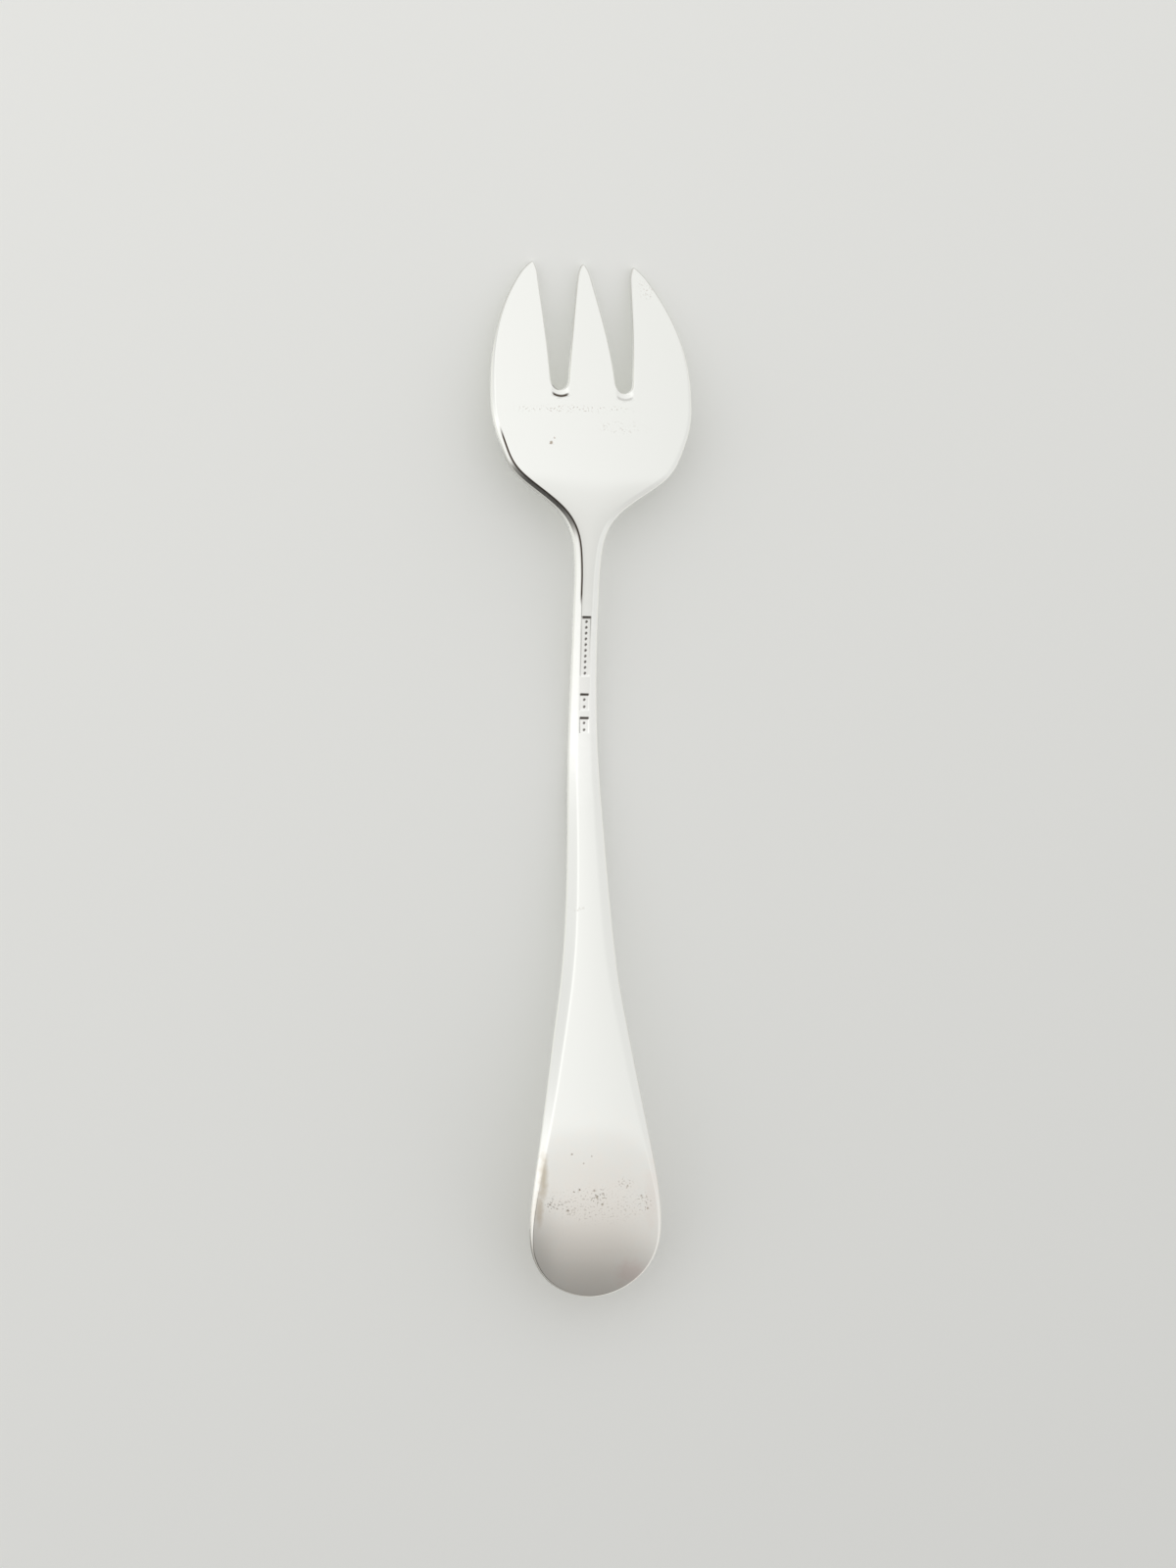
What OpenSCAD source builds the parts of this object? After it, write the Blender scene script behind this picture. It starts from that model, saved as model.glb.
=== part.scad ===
// Three-tined oyster fork, forged and filed from one piece of silver.
// It lies face down, as it rests on a table: the back is up, +Y runs towards the tines
// and +X to the right. The origin is on the table, under the middle of the fork.
// Every section is a plate whose edges are slanted on its back and rounded under it.
// Stations are measured along the fork from the end of the handle, and the sections are
// joined into one closed skin.

/* [Overall] */
// Length from the end of the handle to the tip of the middle tine
overall_l = 145; // [125:1:175]
// How far each side of the head is filed out of line, per unit of width
hand_skew_share = 0.05; // [0:0.01:0.1]
// How far the middle of the hand-made fork wanders aside of a straight line
wander = 0.4; // [0:0.05:0.8]

/* [Handle] */
// Greatest width of the handle, near its end
handle_w = 18.7; // [14:0.2:24]
// Length of the rounded end of the handle
end_l = 10; // [7:0.5:14]
// Length over which the end turns down towards the table
turn_l = 24; // [18:1:30]
// Thickness at the very end
end_t = 1.5; // [1.2:0.1:2.4]
// Thickness where the handle is widest
handle_t = 1.75; // [1.55:0.05:2.6]
// Height of the back of the handle above the table, where it is highest
handle_h = 12.2; // [9:0.2:17]
// How far the very end turns down towards the table
end_drop = 4.4; // [1:0.2:7]
// How much higher the middle of the back is than its sides, on the handle
handle_camber = 0.5; // [0:0.05:0.7]
// How far the handle is rolled over to its right, per unit of width
handle_roll_share = 0.05; // [0:0.01:0.1]
// Distance from the end of the handle to where that roll has gone
level_l = 66; // [50:1:72]

/* [Stem] */
// Least width of the stem
stem_w = 3.4; // [2.6:0.1:5]
// Thickness of the stem where it touches the table
stem_t = 2.9; // [2.2:0.1:4]
// Distance from the end of the handle to where the stem touches the table
rest_l = 76; // [70:1:82]

/* [Head] */
// Length from the neck to the tips
head_l = 45; // [40:0.5:52]
// Greatest width of the head
head_w = 28.5; // [22:0.2:34]
// Distance from the tips back to the widest place
widest_l = 19.5; // [16:0.5:24]
// Distance from the tips back to where the back of the head is highest
belly_l = 29; // [26:0.5:36]
// Height of the back of the head above the table, where it is highest
belly_h = 7.8; // [6:0.2:11]
// Thickness of the head where the slots end
head_t = 2.4; // [1.6:0.1:3.2]
// How much lower the sides of the head are than its middle
dish = 0.7; // [0.3:0.1:3]

/* [Tines] */
// Length of the tines, from the ends of the slots to the tips
tine_l = 18.2; // [14:0.2:19]
// Width of the middle tine where the slots end
middle_tine_w = 6.7; // [5:0.1:8]
// Distance between the tips of the two outer tines
tip_span = 14.5; // [12.5:0.1:17]
// Width of each tine at its tip, before the tip is rounded
tine_tip_w = 1; // [0.8:0.1:2]
// Thickness of the tines at their tips
tip_t = 1.1; // [0.8:0.1:1.6]
// Length over which each tip is rounded
tip_round_l = 1.7; // [0.8:0.1:2.4]
// Width of each slot near its closed end
slot_w = 2.5; // [2:0.05:3.4]
// Length over which the closed end of each slot is rounded
slot_round_l = 1.5; // [1:0.1:2.8]

/* [Edges] */
// Width of the slanted edge along the back of the handle and the stem
slant_w = 1.05; // [0.6:0.05:1.3]
// Width of the same edge at the widest place of the head
head_slant_w = 0.45; // [0.3:0.05:1]
// Width of the small edge at the end of the handle, at the tips and along the slots
edge_w = 0.15; // [0.1:0.05:0.4]
// How far a slanted edge falls, per unit of its width
slant_steep_share = 0.84; // [0.5:0.02:1]
// How steep the slanted edges on the right are, per unit of those on the left
right_slant_share = 0.6; // [0.5:0.05:1]
// How much of the thickness at an edge the rounding under it takes
under_edge_share = 0.5; // [0.2:0.05:0.7]

/* [Hidden] */

// The plan outline

head_half = head_w / 2;
handle_half = handle_w / 2;
stem_half = stem_w / 2;
tip_half = (tip_span + tine_tip_w) / 2;
root_at = overall_l - tine_l;
widest_at = overall_l - widest_l;
neck_at = overall_l - head_l;

// How the handle narrows to the stem: [share of the way, share of the width left]
taper_shares = [[0, 1], [0.11, 0.866], [0.22, 0.655], [0.32, 0.47], [0.42, 0.295],
    [0.52, 0.19], [0.63, 0.12], [0.78, 0.05], [1, 0]];
// How the stem opens into the head: [share of the way, share of the width gained]
shoulder_shares = [[0, 0], [0.13, 0.01], [0.27, 0.06], [0.38, 0.2], [0.48, 0.45],
    [0.58, 0.712], [0.72, 0.88], [0.87, 0.975], [1, 1]];
// How roundly the outer tines close in to their tips, and the middle tine narrows
outer_close_share = 2.4;
middle_close_share = 1.4;
// How square the closed ends of the slots are: 2 is round
slot_square_share = 2;
// How square the end of the handle is, seen along it and across it: 2 and 2 are an ellipse
end_flank_share = 2.4;
end_tip_share = 1.85;
// The stem is narrowest this share of the way from the handle's widest place to the neck
narrow_share = 0.94;

taper_at = [for (k = taper_shares)
    [end_l + k[0] * narrow_share * (neck_at - end_l),
     stem_half + k[1] * (handle_half - stem_half)]];
shoulder_at = [for (k = shoulder_shares)
    [neck_at + k[0] * (widest_at - neck_at), stem_half + k[1] * (head_half - stem_half)]];
taper_slopes = knot_slopes(taper_at);
shoulder_slopes = knot_slopes(shoulder_at);

// The side view: height of the back, and thickness

// Each table holds [share of the way along, share of the change in height]
end_turn_shares = [[0, 1], [0.25, 0.61], [0.5, 0.3], [0.75, 0.09], [1, 0]];
descent_shares = [[0.25, 0.83], [0.5, 0.54], [0.75, 0.22], [1, 0]];
neck_rise_shares = [[0.25, 0.13], [0.5, 0.43], [0.75, 0.79], [1, 1]];
tine_fall_shares = [[0.25, 0.13], [0.5, 0.37], [0.75, 0.66], [1, 1]];
// How much steeper than on average the back runs at the very end and at the tips
end_steep_share = 1.7;
tip_steep_share = 1.4;
belly_at = overall_l - belly_l;
// The rounding under a tip lifts its lowest point by this share of its thickness
tip_lift_share = 0.2;
tip_back_h = (1 - tip_lift_share) * tip_t + dish * pow(tip_span / head_w, 2);
back_line = concat(
    [for (k = end_turn_shares) [k[0] * turn_l, handle_h - k[1] * end_drop]],
    [for (k = descent_shares) [mix(turn_l, rest_l, k[0]), mix(stem_t, handle_h, k[1])]],
    [for (k = neck_rise_shares) [mix(rest_l, belly_at, k[0]), mix(stem_t, belly_h, k[1])]],
    [for (k = tine_fall_shares) [mix(belly_at, overall_l, k[0]), mix(belly_h, tip_back_h, k[1])]]);
back_slopes = knot_slopes(back_line, end_steep_share * end_drop / turn_l,
    tip_steep_share * (tip_back_h - belly_h) / belly_l);

mid_gauge_share = 0.36;
gauge_line = [[0, end_t], [end_l, handle_t],
    [(end_l + rest_l) / 2, mix(handle_t, stem_t, mid_gauge_share)],
    [rest_l, stem_t], [neck_at, stem_t], [root_at, head_t], [overall_l, tip_t]];
gauge_slopes = knot_slopes(gauge_line);

// Width of the slanted edge along the outer side
end_slant_share = 0.25;
neck_slant_share = 0.4;
slant_line = [[0, edge_w], [end_l, mix(edge_w, slant_w, end_slant_share)], [turn_l, slant_w],
    [rest_l, slant_w], [neck_at, mix(slant_w, head_slant_w, neck_slant_share)],
    [widest_at, head_slant_w], [overall_l, edge_w]];
slant_slopes = knot_slopes(slant_line);

// How far aside the middle of the fork is: [share of the length, share of the wander]
aside_shares = [[0, -0.1], [0.025, 0.35], [0.08, 0.85], [0.17, -0.2], [0.45, -0.25],
    [0.58, -0.8], [0.72, -0.6], [0.8, -0.2], [0.87, 0.5], [0.94, 0.2], [1, -0.55]];
aside_line = [for (k = aside_shares) [k[0] * overall_l, k[1] * wander]];
aside_slopes = knot_slopes(aside_line);

// Sections

// Points near an edge: [share of the slant's width, greatest share of the whole edge band]
edge_point_shares = [[0, 0], [0.75, 0.5], [1.25, 0.8]];
edge_n = len(edge_point_shares) + 1;
inner_n = 3;
tine_n = 2 * edge_n + inner_n;
tines = 3;
across_n = tines * (tine_n - 1) + 1;
ring_n = 2 * across_n;
tine_ring_n = 2 * tine_n;
// The rounding under an edge is this wide, as a share of the thickness
under_width_share = 0.55;
// The slants change from the left side's steepness to the right's over this share of the
// section's half width, round its middle
side_blend_share = 0.6;
// An edge band takes no more than this share of a section's width
band_share = 0.47;
// A slant and the camber together take no more than this share of the thickness
slant_depth_share = 0.8;
// Share of the way from the slots to the neck over which the section's points spread out
spread_share = 0.7;
spread_l = spread_share * (root_at - neck_at);
// The skin starts and stops this far from each end, where a small flat closes it
close_l = 0.02;
// Step along the fork over which a slope is measured
slope_step = 0.01;

// Numbers of evenly spaced stations along each stretch
handle_rows = 20;
stem_rows = 9;
shoulder_rows = 26;
tine_rows = 14;
// Stations of the rounded end, and of the last stretches before a slot or a tip
end_row_shares = [0.012, 0.045, 0.1, 0.2, 0.34, 0.51, 0.73, 1];
belly_row_shares = [0.3, 0.6];
root_row_share = 0.25;
root_angles = [22, 42, 62, 90];
tip_angles = [25, 45, 62, 77];
body_at = concat([close_l],
    [for (k = end_row_shares) k * end_l],
    spaced(end_l, rest_l, handle_rows), spaced(rest_l, neck_at, stem_rows),
    spaced(neck_at, widest_at, shoulder_rows),
    [for (k = belly_row_shares) mix(widest_at, root_at, k)],
    [root_at - root_row_share * slot_round_l, root_at]);
tine_at = concat(
    [for (a = root_angles) root_at + slot_round_l * (1 - cos(a))],
    spaced(root_at + slot_round_l, overall_l - tip_round_l, tine_rows),
    [for (a = tip_angles) overall_l - tip_round_l * (1 - sin(a))],
    [overall_l - close_l]);
body_n = len(body_at);
tine_row_n = len(tine_at);

function spaced(from, to, n) = [for (i = [1 : n]) from + (to - from) * i / n];
function mix(a, b, k) = a + (b - a) * k;
function clamp(v) = max(0, min(1, v));
function smooth(v) = let (k = clamp(v)) k * k * (3 - 2 * k);

// Slopes at the knots of a smooth curve with no jump in its bend, from its two end slopes
function knot_slopes(p, first = 0, last = 0) =
    let (n = len(p) - 1,
         h = [for (i = [0 : n - 1]) p[i + 1][0] - p[i][0]],
         g = [for (i = [0 : n - 1]) (p[i + 1][1] - p[i][1]) / h[i]],
         down = knot_sweep(h, g, n, 1, [[0, first]]))
    knot_back(down, n - 1, [last]);
function knot_sweep(h, g, n, i, rows) = i == n ? rows :
    let (m = 2 * (h[i - 1] + h[i]) - h[i] * rows[i - 1][0],
         r = 3 * (h[i] * g[i - 1] + h[i - 1] * g[i]))
    knot_sweep(h, g, n, i + 1,
        concat(rows, [[h[i - 1] / m, (r - h[i] * rows[i - 1][1]) / m]]));
function knot_back(rows, i, found) = i < 0 ? found :
    knot_back(rows, i - 1, concat([rows[i][1] - rows[i][0] * found[0]], found));

// Value of a curve at a station
function along(p, slopes, at, i = 0) =
    i < len(p) - 2 && at > p[i + 1][0] ? along(p, slopes, at, i + 1) :
    let (h = p[i + 1][0] - p[i][0], k = clamp((at - p[i][0]) / h), j = 1 - k)
    p[i][1] * j * j * (1 + 2 * k) + p[i + 1][1] * k * k * (1 + 2 * j)
        + h * k * j * (slopes[i] * j - slopes[i + 1] * k);

// Half the width of the whole fork at a station
function half_at(at) =
    at < end_l ? handle_half
        * pow(1 - pow((end_l - at) / end_l, end_flank_share), 1 / end_tip_share) :
    at < neck_at ? along(taper_at, taper_slopes, at) :
    at < widest_at ? along(shoulder_at, shoulder_slopes, at) :
    mix(head_half, tip_half, pow((at - widest_at) / widest_l, outer_close_share));
function slope_at(at) = abs(half_at(at + slope_step) - half_at(at - slope_step)) / (2 * slope_step);

// The two walls of the right-hand slot, before its closed end is rounded
function middle_wall(at) = let (k = clamp((at - root_at) / tine_l))
    mix(middle_tine_w, tine_tip_w, pow(k, middle_close_share)) / 2;
function outer_wall(at) = let (k = clamp((at - root_at) / tine_l))
    mix(middle_tine_w / 2 + slot_w, (tip_span - tine_tip_w) / 2, k);
function slot_open(at) = let (k = clamp((at - root_at) / slot_round_l))
    pow(1 - pow(1 - k, slot_square_share), 1 / slot_square_share);
function slot_middle(at) = (middle_wall(at) + outer_wall(at)) / 2;
function slot_half(at) = slot_open(at) * (outer_wall(at) - middle_wall(at)) / 2;

// Left and right edge of a tine at a station: 0 is the left one, 1 the middle, 2 the right
function tip_close(at) = let (k = clamp((at - overall_l + tip_round_l) / tip_round_l)) sqrt(1 - k * k);
function tine_edges(t, at) =
    let (c = slot_middle(at), s = slot_half(at),
         e = [[-half_at(at), -c - s], [s - c, c - s], [c + s, half_at(at)]][t],
         middle = (e[0] + e[1]) / 2, half = (e[1] - e[0]) / 2 * tip_close(at))
    [middle - half, middle + half];

function gauge_at(at) = along(gauge_line, gauge_slopes, at);
function slant_at(at) = along(slant_line, slant_slopes, at);
function stretch(slope) = sqrt(1 + slope * slope);

// Distances from an edge, across the section, of the points near it
function edge_points(width, slant, at, slope) =
    let (under = under_width_share * gauge_at(at),
         out = edge_point_shares[edge_n - 2][0] * slant + under / 2,
         band = min(out * stretch(slope), band_share * width))
    concat([for (p = edge_point_shares) min(p[0] * slant * stretch(slope), p[1] * band)], [band]);

// Places across one tine, from its left edge to its right one
function tine_across(t, at) =
    let (e = tine_edges(t, at), width = e[1] - e[0],
         left = t == 0 ? edge_points(width, slant_at(at), at, slope_at(at))
             : edge_points(width, edge_w, at, 0),
         right = t == 2 ? edge_points(width, slant_at(at), at, slope_at(at))
             : edge_points(width, edge_w, at, 0),
         first = e[0] + left[edge_n - 1], last = e[1] - right[edge_n - 1])
    concat(
        [for (p = left) e[0] + p],
        [for (i = [1 : inner_n]) mix(first, last, i / (inner_n + 1))],
        [for (i = [edge_n - 1 : -1 : 0]) e[1] - right[i]]);

// Places across the undivided part, which meet those of the three tines where the slots end
root_across = concat(tine_across(0, root_at),
    [for (t = [1, 2]) for (i = [1 : tine_n - 1]) tine_across(t, root_at)[i]]);
function body_across(at) =
    let (half = half_at(at), edge = edge_points(2 * half, slant_at(at), at, slope_at(at)),
         flat = half - edge[edge_n - 1],
         root_flat = root_across[across_n - edge_n],
         spread = smooth((root_at - at) / spread_l))
    [for (j = [0 : across_n - 1])
        j < edge_n ? edge[j] - half :
        j > across_n - 1 - edge_n ? half - edge[across_n - 1 - j] :
        mix(root_across[j] * flat / root_flat,
            mix(-flat, flat, (j - edge_n + 1) / (across_n - 2 * edge_n + 1)), spread)];

// A point of the back (side 1) or of the face (side 0), at its distances from the outer side
// and from the nearest slot
function skin_point(x, at, from_side, from_slot, side) =
    let (gauge = gauge_at(at),
         half = at < end_l ? handle_half : max(half_at(at), stem_half),
         headed = smooth((at - neck_at) / (widest_at - neck_at)),
         rolled = smooth((level_l - at) / (level_l - turn_l)) * handle_roll_share * x,
         sunk = headed * dish * pow(x / head_half, 2),
         camber = (1 - headed) * handle_camber * sqrt(half / handle_half) * pow(x / half, 2),
         slant = max(0, slant_at(at) - from_side, edge_w - from_slot),
         steep = slant_steep_share
             * mix(1, right_slant_share, clamp(1 / 2 + x / half / side_blend_share)),
         fall = min(steep * slant, slant_depth_share * gauge - camber),
         near = max(0, 1 - min(from_side, from_slot) / (under_width_share * gauge)),
         under = (gauge - camber - fall) * under_edge_share * near * near,
         back = along(back_line, back_slopes, at) - sunk - rolled)
    [x + along(aside_line, aside_slopes, at), at - headed * hand_skew_share * x,
        side == 1 ? back - camber - fall : back - gauge + under];

function from_end(at) = min(at, overall_l - at);
function from_root(x, at) =
    let (out = abs(abs(x) - slot_middle(root_at)) / (slot_w / 2),
         back = (root_at + slot_round_l - at) / slot_round_l,
         q = pow(pow(out, slot_square_share) + pow(back, slot_square_share), 1 / slot_square_share))
    (q - 1) * min(slot_w / 2, slot_round_l);

function body_ring(at) =
    let (xs = body_across(at), half = half_at(at), slope = slope_at(at),
         side = [for (x = xs) min((half - abs(x)) / stretch(slope), from_end(at))],
         slot = [for (x = xs) from_root(x, at)])
    concat([for (j = [0 : across_n - 1]) skin_point(xs[j], at, side[j], slot[j], 1)],
        [for (j = [across_n - 1 : -1 : 0]) skin_point(xs[j], at, side[j], slot[j], 0)]);
function tine_ring(t, at) =
    let (xs = tine_across(t, at), half = half_at(at), slope = slope_at(at),
         left = [for (x = xs) x - xs[0]], right = [for (x = xs) xs[tine_n - 1] - x],
         outer = t == 0 ? left : right,
         side = [for (x = outer) t == 1 ? from_end(at) : min(x / stretch(slope), from_end(at))],
         slot = t == 0 ? right : t == 2 ? left : [for (j = [0 : tine_n - 1]) min(left[j], right[j])])
    concat([for (j = [0 : tine_n - 1]) skin_point(xs[j], at, side[j], slot[j], 1)],
        [for (j = [tine_n - 1 : -1 : 0]) skin_point(xs[j], at, side[j], slot[j], 0)]);

// Numbers of the points in the list that the skin is made from
function body_point(row, k) = row * ring_n + k % ring_n;
function tine_point(t, row, k) =
    let (m = k % tine_ring_n, first = t * (tine_n - 1))
    row > 0 ? body_n * ring_n + ((row - 1) * tines + t) * tine_ring_n + m :
    body_point(body_n - 1, m < tine_n ? first + m : ring_n - first - tine_ring_n + m);

// One closed skin, set down with its lowest point on the table and its middle at the origin
module fork_skin() {
    points = concat(
        [for (at = body_at) each body_ring(at)],
        [for (at = tine_at) for (t = [0 : tines - 1]) each tine_ring(t, at)]);
    xs = [for (p = points) p[0]];
    ys = [for (p = points) p[1]];
    zs = [for (p = points) p[2]];
    body_faces = [for (r = [0 : body_n - 2]) for (k = [0 : ring_n - 1])
        each [[body_point(r, k), body_point(r + 1, k), body_point(r + 1, k + 1)],
              [body_point(r, k), body_point(r + 1, k + 1), body_point(r, k + 1)]]];
    tine_faces = [for (t = [0 : tines - 1]) for (r = [0 : tine_row_n - 1])
        for (k = [0 : tine_ring_n - 1])
        each [[tine_point(t, r, k), tine_point(t, r + 1, k), tine_point(t, r + 1, k + 1)],
              [tine_point(t, r, k), tine_point(t, r + 1, k + 1), tine_point(t, r, k + 1)]]];
    end_face = [for (k = [0 : ring_n - 1]) body_point(0, k)];
    tip_faces = [for (t = [0 : tines - 1])
        [for (k = [tine_ring_n - 1 : -1 : 0]) tine_point(t, tine_row_n, k)]];
    translate([-(min(xs) + max(xs)) / 2, -(min(ys) + max(ys)) / 2, -min(zs)])
        polyhedron(points, concat(body_faces, tine_faces, [end_face], tip_faces));
}

module oyster_fork() {
    color("silver") fork_skin();
}

oyster_fork();
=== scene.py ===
import math
from collections import namedtuple

import bpy
import numpy as np
from mathutils import Matrix, Vector


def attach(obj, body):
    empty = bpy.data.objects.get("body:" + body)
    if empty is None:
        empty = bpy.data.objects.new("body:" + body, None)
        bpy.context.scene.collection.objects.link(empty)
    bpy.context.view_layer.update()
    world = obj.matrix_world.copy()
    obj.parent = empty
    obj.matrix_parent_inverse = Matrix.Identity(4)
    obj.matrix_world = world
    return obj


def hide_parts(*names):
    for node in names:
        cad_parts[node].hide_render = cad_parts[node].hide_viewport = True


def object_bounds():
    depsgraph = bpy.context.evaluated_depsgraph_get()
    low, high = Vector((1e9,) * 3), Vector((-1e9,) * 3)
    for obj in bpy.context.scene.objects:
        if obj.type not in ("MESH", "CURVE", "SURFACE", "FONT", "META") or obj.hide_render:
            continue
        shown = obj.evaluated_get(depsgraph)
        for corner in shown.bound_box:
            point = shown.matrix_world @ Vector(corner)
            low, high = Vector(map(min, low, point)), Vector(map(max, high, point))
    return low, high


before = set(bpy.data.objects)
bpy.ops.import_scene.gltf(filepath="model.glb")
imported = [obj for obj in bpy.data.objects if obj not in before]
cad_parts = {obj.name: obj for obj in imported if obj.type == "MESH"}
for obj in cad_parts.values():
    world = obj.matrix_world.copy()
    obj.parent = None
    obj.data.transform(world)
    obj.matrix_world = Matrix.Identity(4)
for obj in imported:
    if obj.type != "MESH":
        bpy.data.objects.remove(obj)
cadLow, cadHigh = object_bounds()
print("frame loaded:", [round(v, 5) for v in (*cadLow, *cadHigh)])

mm = 0.001

# Sizes of the fork in millimetres. Stations are measured along it from the end of the handle.
fork = {
    "length": 145.0,
    "skewShare": 0.05,
    "handleWidth": 18.7,
    "endLength": 10.0,
    "turnLength": 24.0,
    "endThickness": 1.5,
    "handleThickness": 1.75,
    "handleHeight": 12.2,
    "endDrop": 4.4,
    "handleCamber": 0.5,
    "rollShare": 0.05,
    "levelAt": 66.0,
    "stemWidth": 3.4,
    "stemThickness": 2.9,
    "restAt": 76.0,
    "headLength": 45.0,
    "headWidth": 28.5,
    "wander": 0.4,
    "widestBeforeTips": 19.5,
    "bellyBeforeTips": 29.0,
    "bellyHeight": 7.8,
    "headThickness": 2.4,
    "dish": 0.7,
    "tineLength": 18.2,
    "middleTineWidth": 6.7,
    "tipSpan": 14.5,
    "tineTipWidth": 1.0,
    "tipThickness": 1.1,
    "tipRoundLength": 1.7,
    "slotWidth": 2.5,
    "slotRoundLength": 1.5,
    "bevelWidth": 1.05,
    "headBevelWidth": 0.45,
    "edgeWidth": 0.15,
    "bevelSteepness": 0.84,
    "rightBevelShare": 0.6,
    "underEdgeShare": 0.5,
    "underWidthShare": 0.55,
}

# Powers and shares of the curves that draw the outline and the side view
curves = {
    "endPower": 2.4,
    "endFullness": 1.85,
    "closingPower": 2.4,
    "tinePower": 1.4,
    "taperShare": 0.94,
    "endSlopeShare": 1.7,
    "tipSlopeShare": 1.4,
    "tipBackShare": 0.8,
    "handleGaugeShare": 0.36,
    "endBevelShare": 0.25,
    "neckBevelShare": 0.4,
}

# Three blank punched cartouches on the stem, in millimetres: where each starts, and its length.
# Each holds a row of plain dark dots, and at its far end a bar of painted shade.
marks = {
    "width": 1.35,
    "depth": 0.08,
    "wall": 0.14,
    "places": [(78.9, 2.3), (82.1, 2.4), (86.9, 8.4)],
    "barWidth": 0.4,
    "barPastEnd": 0.04,
    "dotStep": 0.8,
    "dotRadius": 0.26,
    "dotFade": 0.7,
    "dotDepthShare": 0.6,
}

# The chamfer that the file left round the closed end of each slot, in millimetres
slotEnd = {
    "chamferWidth": 0.92,
    "chamferSlope": 0.3,
    "chamferPastEnd": 0.55,
    "chamferFade": 0.8,
    "halfAcross": 1.25,
    "acrossFade": 0.4,
    "grooveWidth": 0.14,
    "grooveDepth": 0.03,
}

# Where dark paint lies, in millimetres, and how dark it is: painted shade and painted dark reflections
# along the rim, the neck's ridge and the marks' walls, and darker lines at the slots' closed ends.
# A stretch is a first station, a length, and how long each of its ends takes to fade. Slot rims count from
# the closed end.
shadeAndDirt = {
    "handleEnd": (-10.0, 22.0, 5.0),
    "handleEndShare": 0.75,
    "handleEndSpread": 10.0,
    "rightEdge": (8.0, 42.0, 8.0),
    "rightEdgeShare": 0.25,
    # Painted dark reflection along the left shoulder's rim, where it mirrors the shadowed table
    "shoulder": (107.0, 13.5, 4.0),
    "shoulderShare": 0.55,
    "tines": (128.0, 40.0, 10.0),
    "tinesShare": 0.34,
    # A dark line painted on the left along the neck's ridge: a painted reflection of the dark door's edge
    "neckRidge": (96.5, 25.0, 2.0),
    "slotRim": (-0.3, 1.2, 0.4),
    "slotRimSpread": 1.2,
    "slotRimHalf": 1.6,
    "leftward": 0.4,
    "rightSlotShare": 0.3,
    "slotsSpread": 6.0,
    # Painted shade on the marks' walls and bars, and dark paint in their dots
    "markWall": 3.4,
    "markLeftShare": 0.6,
    "markLeftFrom": 0.45,
    "markFarReach": 0.2,
    "markWallFade": 0.1,
    "markBar": 0.9,
    "markBarFade": 0.08,
    "markDot": 0.85,
    "rimReach": 0.21,
    "grooveReach": 0.224,
    "grooveGain": 2.0,
    "ridgeReach": 0.15,
    "ridgeGain": 2.2,
}

# How finely the blank is divided, in columns, rows, rings or points, and, in millimetres, the
# band of rings along its edge
blankMesh = {
    "columnsPerTine": 15,
    "edgeRings": 12,
    "evenRingsTo": 0.9,
    "outerRings": [0.95, 0.985, 1],
    "endRows": 26,
    "handleRows": 150,
    "stemRowLength": 0.1,
    "stemMargin": 2.5,
    "shoulderRows": 96,
    "slotRows": 15,
    "tineRows": 46,
    "tipRows": 12,
    "endPoints": 240,
    "sidePoints": 2400,
    "wallPoints": 400,
    "roundPoints": 60,
    "endGap": 0.04,
    "tipGap": 0.05,
    "slotRimSlack": 0.01,
    "gatherShare": 0.75,
    "bandMargin": 0.1,
    "bandPerBevel": 1.25,
    "bandPerChamfer": 1.1,
    "slotEndReach": 2.2,
    "weldDistance": 0.0001,
}


def mix(a, b, share):
    return a + (b - a) * share


def smoothShare(value):
    k = np.clip(value, 0, 1)
    return k * k * (3 - 2 * k)


def stretchShare(value, start, length, fade):
    # 1 inside a stretch, falling to 0 over each of its ends
    return smoothShare((value - start) / fade) * smoothShare((start + length - value) / fade)


def smoothCurve(knots, firstSlope=0.0, lastSlope=0.0):
    # A cubic through the knots with no jump in its bend, as a drawn batten would lie
    at, value = np.array(knots, float).T
    step = np.diff(at)
    rise = np.diff(value) / step
    system = np.eye(len(at))
    target = np.full(len(at), firstSlope)
    target[-1] = lastSlope
    for i in range(1, len(at) - 1):
        system[i, i - 1:i + 2] = step[i], 2 * (step[i - 1] + step[i]), step[i - 1]
        target[i] = 3 * (step[i] * rise[i - 1] + step[i - 1] * rise[i])
    slopes = np.linalg.solve(system, target)

    def valueAt(station):
        i = np.clip(np.searchsorted(at, station, side="right") - 1, 0, len(step) - 1)
        k = np.clip((station - at[i]) / step[i], 0, 1)
        j = 1 - k
        ends = value[i] * j * j * (1 + 2 * k) + value[i + 1] * k * k * (1 + 2 * j)
        return ends + step[i] * k * j * (slopes[i] * j - slopes[i + 1] * k)

    return valueAt


def placed(shares, start, end, startValue, endValue):
    # Knots given as shares of the way and shares of the change
    return [(mix(start, end, way), mix(startValue, endValue, change)) for way, change in shares]


# Main stations and half widths
rootAt = fork["length"] - fork["tineLength"]
widestAt = fork["length"] - fork["widestBeforeTips"]
neckAt = fork["length"] - fork["headLength"]
bellyAt = fork["length"] - fork["bellyBeforeTips"]
headHalf = fork["headWidth"] / 2
handleHalf = fork["handleWidth"] / 2
stemHalf = fork["stemWidth"] / 2
tipHalf = (fork["tipSpan"] + fork["tineTipWidth"]) / 2

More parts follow.
